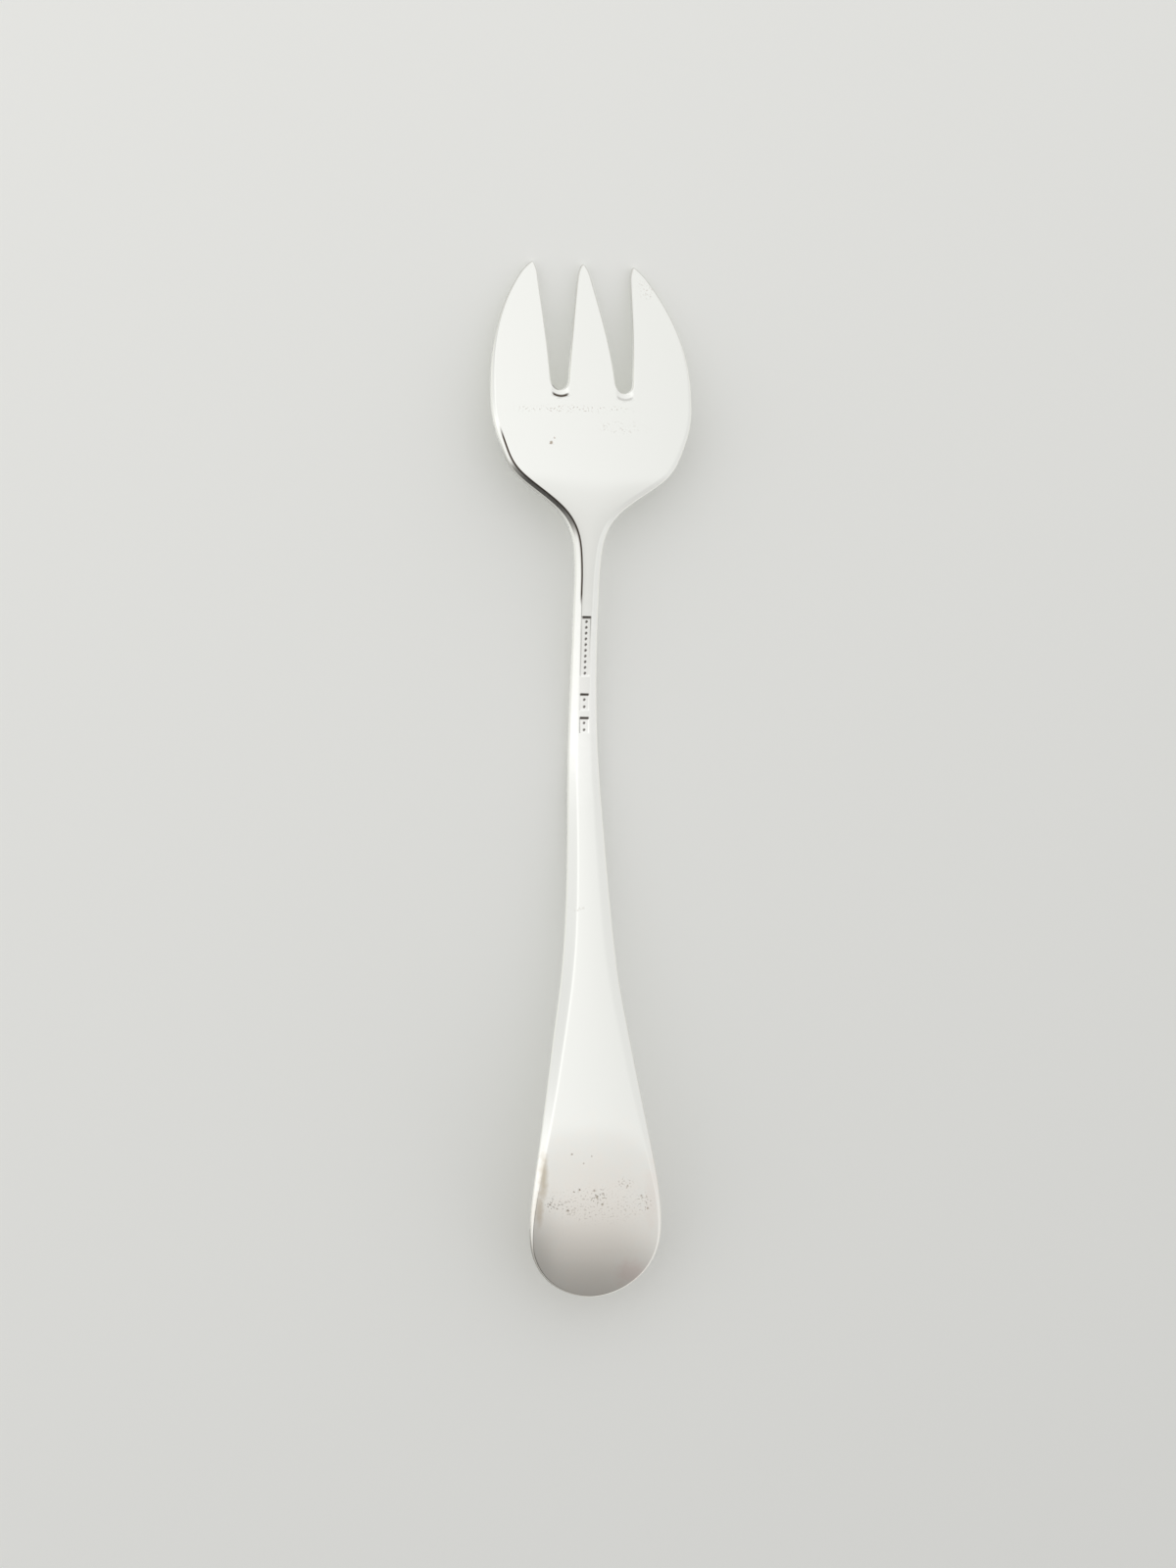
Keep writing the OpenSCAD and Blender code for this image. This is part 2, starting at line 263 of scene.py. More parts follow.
# The outline from the handle to the neck, and from the neck to the widest place
taper = smoothCurve(placed(
    [(0, 0), (0.11, 0.134), (0.22, 0.345), (0.32, 0.53), (0.42, 0.705), (0.52, 0.81),
     (0.63, 0.88), (0.78, 0.95), (1, 1)],
    fork["endLength"], mix(fork["endLength"], neckAt, curves["taperShare"]), handleHalf, stemHalf))
shoulder = smoothCurve(placed(
    [(0, 0), (0.13, 0.01), (0.27, 0.06), (0.38, 0.2), (0.48, 0.45), (0.58, 0.712),
     (0.72, 0.88), (0.87, 0.975), (1, 1)],
    neckAt, widestAt, stemHalf, headHalf))

# The side view: height of the back above the table, and thickness
tipBackHeight = (curves["tipBackShare"] * fork["tipThickness"]
                 + fork["dish"] * (fork["tipSpan"] / fork["headWidth"]) ** 2)
backHeight = smoothCurve(
    placed([(0, 0), (0.25, 0.39), (0.5, 0.7), (0.75, 0.91)], 0, fork["turnLength"],
           fork["handleHeight"] - fork["endDrop"], fork["handleHeight"])
    + placed([(0, 0), (0.25, 0.17), (0.5, 0.46), (0.75, 0.78)], fork["turnLength"],
             fork["restAt"], fork["handleHeight"], fork["stemThickness"])
    + placed([(0, 0), (0.25, 0.13), (0.5, 0.43), (0.75, 0.79)], fork["restAt"],
             bellyAt, fork["stemThickness"], fork["bellyHeight"])
    + placed([(0, 0), (0.25, 0.13), (0.5, 0.37), (0.75, 0.66), (1, 1)], bellyAt,
             fork["length"], fork["bellyHeight"], tipBackHeight),
    curves["endSlopeShare"] * fork["endDrop"] / fork["turnLength"],
    curves["tipSlopeShare"] * (tipBackHeight - fork["bellyHeight"]) / fork["bellyBeforeTips"])
gauge = smoothCurve([
    (0, fork["endThickness"]), (fork["endLength"], fork["handleThickness"]),
    ((fork["endLength"] + fork["restAt"]) / 2,
     mix(fork["handleThickness"], fork["stemThickness"], curves["handleGaugeShare"])),
    (fork["restAt"], fork["stemThickness"]), (neckAt, fork["stemThickness"]),
    (rootAt, fork["headThickness"]), (fork["length"], fork["tipThickness"])])

# Width of the slanted edge along the outer side
bevel = smoothCurve([
    (0, fork["edgeWidth"]),
    (fork["endLength"], mix(fork["edgeWidth"], fork["bevelWidth"], curves["endBevelShare"])),
    (fork["turnLength"], fork["bevelWidth"]), (fork["restAt"], fork["bevelWidth"]),
    (neckAt, mix(fork["bevelWidth"], fork["headBevelWidth"], curves["neckBevelShare"])),
    (widestAt, fork["headBevelWidth"]), (fork["length"], fork["edgeWidth"])])

# How far the middle of the hand-made fork wanders aside of a straight line
aside = smoothCurve(placed(
    [(0, -0.1), (0.025, 0.35), (0.08, 0.85), (0.17, -0.2), (0.45, -0.25), (0.58, -0.8),
     (0.72, -0.6), (0.8, -0.2), (0.87, 0.5), (0.94, 0.2), (1, -0.55)],
    0, fork["length"], 0, fork["wander"]))


def outerHalf(station):
    # Half the width of the whole fork
    k = np.clip(1 - station / fork["endLength"], 0, 1)
    end = handleHalf * (1 - k ** curves["endPower"]) ** (1 / curves["endFullness"])
    closing = np.clip((station - widestAt) / fork["widestBeforeTips"], 0, 1) ** curves["closingPower"]
    return np.select(
        [station < fork["endLength"], station < neckAt, station < widestAt],
        [end, taper(station), shoulder(station)], mix(headHalf, tipHalf, closing))


def slotWalls(station):
    # The two walls of the right-hand slot, which meet at its closed end
    k = np.clip((station - rootAt) / fork["tineLength"], 0, 1)
    inner = mix(fork["middleTineWidth"], fork["tineTipWidth"], k ** curves["tinePower"]) / 2
    outer = mix(fork["middleTineWidth"] / 2 + fork["slotWidth"],
                (fork["tipSpan"] - fork["tineTipWidth"]) / 2, k)
    closed = 1 - np.clip((station - rootAt) / fork["slotRoundLength"], 0, 1)
    half = np.sqrt(1 - closed * closed) * (outer - inner) / 2
    return (inner + outer) / 2 - half, (inner + outer) / 2 + half


def tipClosed(left, right, station):
    # A tine's two edges, drawn together at its rounded tip
    k = np.clip((station - fork["length"] + fork["tipRoundLength"]) / fork["tipRoundLength"], 0, 1)
    half = (right - left) / 2 * np.sqrt(1 - k * k)
    return (left + right) / 2 - half, (left + right) / 2 + half


def quarterTurn(start, length, count, endsSlow=False):
    # Stations that crowd together at one end, as points evenly spaced round a curve do
    angle = np.linspace(0, math.pi / 2, count + 1)
    return start + length * (np.sin(angle) if endsSlow else 1 - np.cos(angle))


def traceOutline():
    # The right half of the outline, from the end of the handle round to the middle tip, in
    # three lines: the outer side, the right tine's inner wall, and the middle tine's wall
    tipStart = fork["length"] - fork["tipRoundLength"]
    tip = quarterTurn(tipStart, fork["tipRoundLength"], blankMesh["roundPoints"], endsSlow=True)
    slot = quarterTurn(rootAt, fork["slotRoundLength"], blankMesh["roundPoints"])
    side = np.concatenate([
        quarterTurn(0, fork["endLength"], blankMesh["endPoints"]),
        np.linspace(fork["endLength"], tipStart, blankMesh["sidePoints"])[1:], tip[1:]])
    wall = np.concatenate([slot, np.linspace(slot[-1], tipStart, blankMesh["wallPoints"])[1:], tip[1:]])
    outer = tipClosed(slotWalls(side)[1], outerHalf(side), side)[1]
    inner = tipClosed(slotWalls(wall)[1], outerHalf(wall), wall)[0]
    middle = tipClosed(-slotWalls(wall)[0], slotWalls(wall)[0], wall)[1]
    return [np.stack([outer, side], 1), np.stack([inner, wall], 1)[::-1],
            np.stack([middle, wall], 1)]


def mirrored(points):
    return points * (-1, 1)


def insetBy(station):
    # Width of the band of rings along the outline, which holds the slanted edge and the chamfer
    forBevel = blankMesh["bandPerBevel"] * bevel(np.clip(station, 0, fork["length"]))
    nearness = np.exp(-((station - rootAt) / blankMesh["slotEndReach"]) ** 2)
    forChamfer = blankMesh["bandPerChamfer"] * slotEnd["chamferWidth"] * nearness
    return blankMesh["bandMargin"] + np.maximum(forBevel, forChamfer)


def traceInset(lines):
    # The same three lines, moved into the metal by the width of the band
    points = np.concatenate([lines[0], lines[1][1:], lines[2][1:]])
    loop = np.concatenate([points, mirrored(points[-2:0:-1])])
    run = np.roll(loop, -1, 0) - np.roll(loop, 1, 0)
    inward = np.stack([-run[:, 1], run[:, 0]], 1) / np.linalg.norm(run, axis=1)[:, None]
    inset = loop + inward * insetBy(loop[:, 1])[:, None]
    ends = np.cumsum([0, len(lines[0]) - 1, len(lines[1]) - 1, len(lines[2]) - 1])
    return [inset[a:b + 1] for a, b in zip(ends[:-1], ends[1:])]


def pointAt(line, place):
    count = np.arange(len(line))
    return np.stack([np.interp(place, count, line[:, 0]), np.interp(place, count, line[:, 1])], -1)


Edge = namedtuple("Edge", "line place x rim")


def matchRows(line, inset, rows):
    # Where the inset line crosses each row, and the place on the outline that lies beside it
    order = slice(None) if inset[-1, 1] > inset[0, 1] else slice(None, None, -1)
    reached = np.maximum.accumulate(inset[order, 1])
    place = np.interp(rows, reached, np.arange(len(line))[order])
    return Edge(line, place, pointAt(inset, place)[:, 0], pointAt(line, place))


def layRows():
    # Stations of the rows of quads, along the undivided part and along the tines
    firstAt = insetBy(0) + blankMesh["endGap"]
    lastAt = fork["length"] - insetBy(fork["length"]) - blankMesh["tipGap"]
    slotStart = rootAt - insetBy(rootAt)
    slotStop = rootAt + fork["slotRoundLength"]
    stemStart = fork["restAt"] + blankMesh["stemMargin"]
    stemStop = neckAt - blankMesh["stemMargin"]
    stemRows = round((stemStop - stemStart) / blankMesh["stemRowLength"])
    bodyRows = np.concatenate([
        quarterTurn(firstAt, fork["endLength"] - firstAt, blankMesh["endRows"]),
        np.linspace(fork["endLength"], stemStart, blankMesh["handleRows"])[1:],
        np.linspace(stemStart, stemStop, stemRows)[1:],
        np.linspace(stemStop, slotStart, blankMesh["shoulderRows"])[1:]])
    tipTurn = fork["tipRoundLength"]
    tineRows = np.concatenate([
        quarterTurn(slotStart, slotStop - slotStart, blankMesh["slotRows"])[1:],
        np.linspace(slotStop, lastAt - tipTurn, blankMesh["tineRows"])[1:],
        quarterTurn(lastAt - tipTurn, tipTurn, blankMesh["tipRows"], endsSlow=True)[1:]])
    return bodyRows, tineRows


def stackRows(x, rows):
    return np.stack([x, np.broadcast_to(rows[:, None], x.shape)], 2).reshape(-1, 2)


def layGrid(outer, inner, middle, bodyRows, tineRows):
    # The points of the rows, and their numbers as one grid for the body and one for each tine
    columns = blankMesh["columnsPerTine"]
    across = np.arange(3 * columns + 1)
    bodyCount = len(bodyRows)
    rootX, slotX = outer.x[bodyCount - 1], inner.line[-1, 0]

    # The body's columns gather between the tines as its rows near the slots
    even = across / across[-1] * 2 - 1
    gathered = np.interp(across, np.arange(4) * columns, [-rootX, -slotX, slotX, rootX]) / rootX
    gatherLength = blankMesh["gatherShare"] * (rootAt - neckAt)
    spread = smoothShare((bodyRows[-1] - bodyRows) / gatherLength)[:, None]
    bodyX = mix(gathered, even, spread) * outer.x[:bodyCount, None]
    points = [stackRows(bodyX, bodyRows)]
    body = np.arange(bodyX.size).reshape(bodyX.shape)

    tineX = outer.x[bodyCount:]
    used = body.size
    tines = []
    for number, (left, right) in enumerate(
            [(-tineX, -inner.x), (-middle.x, middle.x), (inner.x, tineX)]):
        x = mix(left[:, None], right[:, None], np.arange(columns + 1) / columns)
        points.append(stackRows(x, tineRows))
        rows = used + np.arange(x.size).reshape(x.shape)
        used += x.size
        joined = body[-1, number * columns:(number + 1) * columns + 1]
        tines.append(np.concatenate([joined[None], rows]))
    return np.concatenate(points), body, tines


def roundTip(right, left, leftPlace):
    # Outline points from the right edge of a tine's last row over its tip to the left edge
    whole = np.concatenate([right.line, left[1:]])
    stop = len(right.line) - 1 + leftPlace
    return pointAt(whole, np.linspace(right.place[-1], stop, blankMesh["columnsPerTine"] + 1)[1:-1])


def traceBorder(outer, inner, middle, body, tines):
    # The border of the grids in order round the blank: the numbers of its points, and the place
    # on the outline that each point is drawn out to
    columns = blankMesh["columnsPerTine"]
    bodyCount = len(body)
    endTurn = np.linspace(-1, 1, 3 * columns + 1)[1:-1]
    endRim = pointAt(outer.line, np.abs(endTurn) * outer.place[0])
    endRim[:, 0] *= np.sign(endTurn)
    rightTip = roundTip(outer, inner.line, inner.place[-1])
    middleTip = roundTip(middle, mirrored(middle.line)[::-1], len(middle.line) - 1 - middle.place[-1])
    leftTine, middleTine, rightTine = tines
    root = inner.line[-1:]
    border = [
        (body[0, 1:-1], endRim),
        (body[:, -1], outer.rim[:bodyCount]),
        (rightTine[1:, -1], outer.rim[bodyCount:]),
        (rightTine[-1, -2:0:-1], rightTip),
        (rightTine[:0:-1, 0], inner.rim[::-1]),
        (body[-1:, 2 * columns], root),
        (middleTine[1:, -1], middle.rim),
        (middleTine[-1, -2:0:-1], middleTip),
        (middleTine[:0:-1, 0], mirrored(middle.rim)[::-1]),
        (body[-1:, columns], mirrored(root)),
        (leftTine[1:, -1], mirrored(inner.rim)),
        (leftTine[-1, -2:0:-1], mirrored(rightTip)[::-1]),
        (leftTine[:0:-1, 0], mirrored(outer.rim[bodyCount:])[::-1]),
        (body[::-1, 0], mirrored(outer.rim[:bodyCount])[::-1]),
    ]
    return [np.concatenate(part) for part in zip(*border)]


def struckShare(x, station):
    along = sum(stretchShare(station, *place, marks["wall"]) for place in marks["places"])
    return along * stretchShare(x, -marks["width"] / 2, marks["width"], marks["wall"])


def dotShare(x, station):
    # A row of plain dots punched into the floor of each cartouche
    share = 0
    for start, length in marks["places"]:
        count = round((length - marks["barWidth"]) / marks["dotStep"])
        step = (length - marks["barWidth"]) / count
        nearest = start + (np.clip(np.floor((station - start) / step), 0, count - 1) + 0.5) * step
        away = np.hypot(x, station - nearest) / marks["dotRadius"]
        share = np.maximum(share, smoothShare((1 - away) / marks["dotFade"]))
    return share


def markShadeAndDirt(x, station):
    # Dark paint in the dots, and painted shade along the left and far walls of each cartouche and in a bar
    # at its far end
    struck = struckShare(x, station)
    onLeft = smoothShare((-x - shadeAndDirt["markLeftFrom"]) / shadeAndDirt["markWallFade"])
    atFarEnds, bars = 0, 0
    for start, length in marks["places"]:
        end = start + length
        atFarEnds = atFarEnds + stretchShare(
            station, end - shadeAndDirt["markFarReach"], 2 * shadeAndDirt["markFarReach"], shadeAndDirt["markWallFade"])
        bars = bars + stretchShare(
            station, end + marks["barPastEnd"] - marks["barWidth"], marks["barWidth"], shadeAndDirt["markBarFade"])
    bars = bars * stretchShare(x, -marks["width"] / 2, marks["width"], shadeAndDirt["markWallFade"])
    walls = struck * (1 - struck) * np.maximum(shadeAndDirt["markLeftShare"] * onLeft, atFarEnds)
    return np.max([shadeAndDirt["markWall"] * walls, shadeAndDirt["markDot"] * dotShare(x, station),
                   shadeAndDirt["markBar"] * bars], axis=0)


def slotDarkening(x):
    # The left slot is painted darker than the right one
    return mix(shadeAndDirt["rightSlotShare"], 1, smoothShare(0.5 - x / shadeAndDirt["slotsSpread"]))


def paintedRimShade(x, station, slotX):
    # Painted shade along the rim, where the rounded rim would mirror the dark horizon and the shadowed
    # table, darkest on the left of the handle's end and of each slot's closed end
    atEnd = stretchShare(station, *shadeAndDirt["handleEnd"])
    atEnd = atEnd * smoothShare(shadeAndDirt["leftward"] - x / shadeAndDirt["handleEndSpread"])
    atTines = stretchShare(station, *shadeAndDirt["tines"])
    atRight = (x > 0) * stretchShare(station, *shadeAndDirt["rightEdge"])
    atShoulder = (x < 0) * stretchShare(station, *shadeAndDirt["shoulder"])
    pastSlot = np.abs(x) - slotX
    atSlot = stretchShare(station - rootAt, *shadeAndDirt["slotRim"]) * (np.abs(pastSlot) < shadeAndDirt["slotRimHalf"])
    atSlot = atSlot * smoothShare(shadeAndDirt["leftward"] - pastSlot * np.sign(x) / shadeAndDirt["slotRimSpread"])
    return np.max([shadeAndDirt["handleEndShare"] * atEnd, shadeAndDirt["tinesShare"] * atTines,
                   shadeAndDirt["rightEdgeShare"] * atRight, shadeAndDirt["shoulderShare"] * atShoulder,
                   slotDarkening(x) * atSlot], axis=0)


def measureBlank(points, onRim, slotX):
    # What the forging tree reads at each point: lengths in metres, and shares
    x = points[:, 0]
    station = np.clip(points[:, 1], 0, fork["length"])
    whole = outerHalf(station)
    half = np.where(station < fork["endLength"], handleHalf, np.maximum(whole, stemHalf))
    hollow = struckShare(x, station) + marks["dotDepthShare"] * dotShare(x, station)
    lengths = {
        "backHeight": backHeight(station),
        "gauge": gauge(station),
        "aside": aside(station),
        "bevelWidth": bevel(station),
        "halfWidth": half,
        "struck": hollow * marks["depth"],
    }
    pastRoot = station > rootAt - blankMesh["slotRimSlack"]
    alongSlot = onRim & pastRoot & (np.abs(x) < whole - fork["edgeWidth"])
    chamfered = smoothShare((rootAt + slotEnd["chamferPastEnd"] - station) / slotEnd["chamferFade"])
    besideSlot = np.abs(np.abs(x) - slotX)
    chamfered = chamfered * smoothShare((slotEnd["halfAcross"] - besideSlot) / slotEnd["acrossFade"])
    shares = {
        "headShare": smoothShare((station - neckAt) / (widestAt - neckAt)),
        "crownShare": np.sqrt(half / handleHalf),
        "rollShare": smoothShare((fork["levelAt"] - station) / (fork["levelAt"] - fork["turnLength"])),
        "alongSlot": alongSlot,
        "slotEnd": chamfered,
        "grooveDarkening": slotDarkening(x),
        "paintedRimShade": paintedRimShade(x, station, slotX),
        "paintedRidgeReflection": (x < 0) * stretchShare(station, *shadeAndDirt["neckRidge"]),
        "markShadeAndDirt": markShadeAndDirt(x, station),
    }
    return {**{name: value * mm for name, value in lengths.items()}, **shares}


def makeBlank():
    # The flat blank as it would be cut from sheet, in rows of quads with rings round its edge
    lines = traceOutline()
    insets = traceInset(lines)
    bodyRows, tineRows = layRows()
    edges = [matchRows(line, inset, rows) for line, inset, rows in zip(
        lines, insets, [np.concatenate([bodyRows, tineRows]), tineRows, tineRows])]
    points, body, tines = layGrid(*edges, bodyRows, tineRows)
    faces = [np.stack([g[:-1, :-1], g[:-1, 1:], g[1:, 1:], g[1:, :-1]], 2).reshape(-1, 4)
             for g in [body, *tines]]

    ring, target = traceBorder(*edges, body, tines)
    start = points[ring]
    evenRings = np.linspace(0, blankMesh["evenRingsTo"], blankMesh["edgeRings"] - 2)[1:]
    for share in [*evenRings, *blankMesh["outerRings"]]:
        outward = len(points) + np.arange(len(ring))
        points = np.concatenate([points, mix(start, target, share)])
        faces.append(np.stack([ring, outward, np.roll(outward, -1), np.roll(ring, -1)], 1))
        ring = outward
    faces = np.concatenate(faces)

    mesh = bpy.data.meshes.new("forkBlank")
    mesh.from_pydata(np.column_stack([points, np.zeros(len(points))]) * mm, [], faces.tolist())
    onRim = np.arange(len(points)) >= ring[0]
    for name, values in measureBlank(points, onRim, lines[1][-1, 0]).items():
        mesh.attributes.new(name, "FLOAT", "POINT").data.foreach_set("value", values.astype(np.float32))
    blank = bpy.data.objects.new("forkBlank", mesh)
    bpy.context.scene.collection.objects.link(blank)
    print("blank cut:", len(points), "points,", len(faces), "faces")
    return blank


class Value:
    # A number in a node tree, so that what the tree works out is written as a sum
    def __init__(self, socket):
        self.socket = socket

    def __add__(self, other):
        return calc("ADD", self, other)

    def __sub__(self, other):
        return calc("SUBTRACT", self, other)

    def __rsub__(self, other):
        return calc("SUBTRACT", other, self)

    def __mul__(self, other):
        return calc("MULTIPLY", self, other)

    def __truediv__(self, other):
        return calc("DIVIDE", self, other)

    def __abs__(self):
        return calc("ABSOLUTE", self)

    def atLeast(self, other):
        return calc("MAXIMUM", self, other)

    def atMost(self, other):
        return calc("MINIMUM", self, other)

    def kept(self, low, high):
        # The number itself between the two limits, and the nearer limit past them
        return self.atLeast(low).atMost(high)

    __radd__ = __add__
    __rmul__ = __mul__


def setInputs(node, inputs):
    # Links what comes from the tree, and sets what is a plain value
    for key, value in inputs.items():
        source = value.socket if isinstance(value, Value) else value
        if isinstance(source, bpy.types.NodeSocket):
            node.id_data.links.new(source, node.inputs[key])
        else:
            node.inputs[key].default_value = source


def addNode(tree, kind, inputs=None, **settings):
    node = tree.nodes.new(kind)
    for name, value in settings.items():
        setattr(node, name, value)
    setInputs(node, inputs or {})
    return node


def calc(operation, *values):
    tree = next(value.socket.id_data for value in values if isinstance(value, Value))
    node = addNode(tree, "ShaderNodeMath", dict(enumerate(values)), operation=operation)
    return Value(node.outputs[0])


def split(tree, vector):
    return [Value(socket) for socket in addNode(tree, "ShaderNodeSeparateXYZ", {0: vector}).outputs]


def readShape(tree, name):
    # One of the measures that the blank carries at each point
    node = addNode(tree, "GeometryNodeInputNamedAttribute", {"Name": name}, data_type="FLOAT")
    return Value(node.outputs["Attribute"])


# What the forging tree can be given, in metres or as plain shares
forging = {
    "Dish": fork["dish"] * mm,
    "Head Half Width": headHalf * mm,
    "Handle Camber": fork["handleCamber"] * mm,
    "Edge Width": fork["edgeWidth"] * mm,
    "Crease Share": 0.6,
    "Bevel Steepness": fork["bevelSteepness"],
    "Right Bevel Share": fork["rightBevelShare"],
    "Side Blend Share": 0.6,
    "Corner Share": 0.16,
    "Under Edge Share": fork["underEdgeShare"],
    "Under Width Share": fork["underWidthShare"],
    "Skew": fork["skewShare"],
    "Roll": fork["rollShare"],
    "Chamfer Width": slotEnd["chamferWidth"] * mm,
    "Chamfer Slope": slotEnd["chamferSlope"],
    "Groove Width": slotEnd["grooveWidth"] * mm,
    "Groove Depth": slotEnd["grooveDepth"] * mm,
    "Painted Rim Shade Reach": shadeAndDirt["rimReach"] * mm,
    "Groove Darkening Reach": shadeAndDirt["grooveReach"] * mm,
    "Groove Darkening Gain": shadeAndDirt["grooveGain"],
    "Ridge Reflection Reach": shadeAndDirt["ridgeReach"] * mm,
    "Ridge Reflection Gain": shadeAndDirt["ridgeGain"],
}


def measureEdges(tree, blank, given):
    # Stores how deep the edges fall, how far the underside is rounded, and where the painted shade
    # and dirt lie, all from distances measured on the flat
    neighbours = tree.nodes.new("GeometryNodeInputMeshEdgeNeighbors").outputs["Face Count"]
    inside = addNode(tree, "FunctionNodeCompare", {2: neighbours, 3: 1}, data_type="INT",
                     operation="GREATER_THAN").outputs["Result"]
    rimOnly = addNode(tree, "GeometryNodeDeleteGeometry", {"Geometry": blank, "Selection": inside},
                      domain="EDGE", mode="EDGE_FACE").outputs["Geometry"]

    def distanceWithout(leftOut):
        # Distance from the rim, apart from the stretches that are left out
        rim = addNode(tree, "GeometryNodeDeleteGeometry", {"Geometry": rimOnly, "Selection": leftOut},
                      domain="POINT").outputs["Geometry"]
        nearest = addNode(tree, "GeometryNodeProximity", {0: rim}, target_element="EDGES")
        return Value(nearest.outputs["Distance"])

    alongSlot = readShape(tree, "alongSlot")
    fromSide = distanceWithout(alongSlot)
    fromSlot = distanceWithout(1.0 - alongSlot)
    fromRim = fromSide.atMost(fromSlot)
    bevelWidth = readShape(tree, "bevelWidth")

    # The edges on the right are filed less steeply than those on the left
    position = tree.nodes.new("GeometryNodeInputPosition").outputs[0]
    acrossSection = split(tree, position)[0] / readShape(tree, "halfWidth")
    rightness = (acrossSection / given["Side Blend Share"] + 0.5).kept(0.0, 1.0)
    steepness = given["Bevel Steepness"] * (1.0 - rightness * (1.0 - given["Right Bevel Share"]))

    def slant(distance, width):
        # How deep the back has fallen at a distance from an edge
        return calc("SMOOTH_MAX", width - distance, 0.0, width * given["Corner Share"]) * steepness

    crease = (1.0 - fromRim / given["Edge Width"]).atLeast(0.0)
    crease = crease * crease * (given["Edge Width"] * given["Crease Share"])
    fall = slant(fromSide, bevelWidth).atLeast(slant(fromSlot, given["Edge Width"])) + crease

    # The chamfer round the closed ends of the slots, with a fine groove along its border
    pastChamfer = given["Chamfer Width"] - fromSlot
    chamfer = pastChamfer.atLeast(0.0) * given["Chamfer Slope"]
    fromGroove = pastChamfer / given["Groove Width"]
    groove = given["Groove Depth"] * (1.0 - fromGroove * fromGroove).atLeast(0.0)
    atSlotEnd = readShape(tree, "slotEnd")
    fall = fall + (chamfer + groove) * atSlotEnd + readShape(tree, "struck")

    underWidth = readShape(tree, "gauge") * given["Under Width Share"]
    under = (1.0 - fromRim / underWidth).atLeast(0.0)
    under = under * under * given["Under Edge Share"]

    def closeTo(distance, reach):
        return (1.0 - abs(distance) / reach).atLeast(0.0)

    # Painted shade along the rim, a dark line in the groove, a painted dark reflection along the
    # neck's ridge, and painted shade and dark dots round the punched marks
    atRim = closeTo(fromRim, given["Painted Rim Shade Reach"])
    # A dark line painted along the groove at each slot's closed end
    atGroove = closeTo(pastChamfer, given["Groove Darkening Reach"]) * atSlotEnd * given["Groove Darkening Gain"]
    # A painted dark reflection along the ridge of the neck's slanted edge
    atRidge = closeTo(fromSide - bevelWidth, given["Ridge Reflection Reach"]) * given["Ridge Reflection Gain"]
    shadeAndDirtShare = readShape(tree, "markShadeAndDirt")
    for share, name in [(atRim, "paintedRimShade"), (atGroove, "grooveDarkening"), (atRidge, "paintedRidgeReflection")]:
        shadeAndDirtShare = shadeAndDirtShare.atLeast(share.atMost(1.0) * readShape(tree, name))

    measured = blank
    for name, value in [("edgeFall", fall), ("underShare", under), ("shadeAndDirt", shadeAndDirtShare)]:
        measured = addNode(tree, "GeometryNodeStoreNamedAttribute", {
            "Geometry": measured, "Name": name, "Value": value}, data_type="FLOAT",
            domain="POINT").outputs["Geometry"]
    return measured


def raiseSlab(tree, flat):
    # A closed slab one metre thick, whose top becomes the back and whose underside the face
    lifted = addNode(tree, "GeometryNodeExtrudeMesh", {
        "Mesh": flat, "Offset": (0, 0, 1), "Individual": False}, mode="FACES").outputs["Mesh"]
    underside = addNode(tree, "GeometryNodeFlipFaces", {"Mesh": flat}).outputs[0]
    joined = tree.nodes.new("GeometryNodeJoinGeometry")
    tree.links.new(lifted, joined.inputs[0])
    tree.links.new(underside, joined.inputs[0])
    return addNode(tree, "GeometryNodeMergeByDistance", {
        "Geometry": joined.outputs[0], "Distance": blankMesh["weldDistance"] * mm}).outputs[0]


def bendSlab(tree, slab, given):
    # Sets the height of each point of the back and the face, and skews and shifts the outline
    x, y, onBack = split(tree, tree.nodes.new("GeometryNodeInputPosition").outputs[0])
    headShare = readShape(tree, "headShare")
    acrossHead = x / given["Head Half Width"]
    acrossSection = x / readShape(tree, "halfWidth")
    sunk = headShare * given["Dish"] * (acrossHead * acrossHead)
    crown = readShape(tree, "crownShare") * given["Handle Camber"] * (acrossSection * acrossSection)
    rolled = readShape(tree, "rollShare") * given["Roll"] * x
    ridge = readShape(tree, "backHeight") - sunk - rolled
    thickness = readShape(tree, "gauge")
    fall = (1.0 - headShare) * crown + readShape(tree, "edgeFall")
    back = ridge - fall
    face = ridge - thickness + (thickness - fall) * readShape(tree, "underShare")
    place = addNode(tree, "ShaderNodeCombineXYZ", {
        0: x + readShape(tree, "aside"), 1: y - headShare * given["Skew"] * x,
        2: face + onBack * (back - face)}).outputs[0]
    return addNode(tree, "GeometryNodeSetPosition", {"Geometry": slab, "Position": place}).outputs[0]


def makeForgingTree(material):
    # Gives the flat blank its curves and thickness, and rounds its edges
    tree = bpy.data.node_groups.new("forgeFork", "GeometryNodeTree")
    tree.interface.new_socket(name="Blank", in_out="INPUT", socket_type="NodeSocketGeometry")
    for name, value in forging.items():
        socket = tree.interface.new_socket(name=name, in_out="INPUT", socket_type="NodeSocketFloat")
        socket.default_value = value
    tree.interface.new_socket(name="Fork", in_out="OUTPUT", socket_type="NodeSocketGeometry")
    entry = tree.nodes.new("NodeGroupInput").outputs
    given = {name: Value(entry[name]) for name in forging}
    measured = measureEdges(tree, entry["Blank"], given)
    forged = bendSlab(tree, raiseSlab(tree, measured), given)
    smooth = addNode(tree, "GeometryNodeSetShadeSmooth", {"Geometry": forged}).outputs[0]
    real = addNode(tree, "GeometryNodeRealizeInstances", {"Geometry": smooth}).outputs[0]
    painted = addNode(tree, "GeometryNodeSetMaterial", {"Geometry": real, "Material": material})
    setInputs(tree.nodes.new("NodeGroupOutput"), {0: painted.outputs[0]})
    return tree


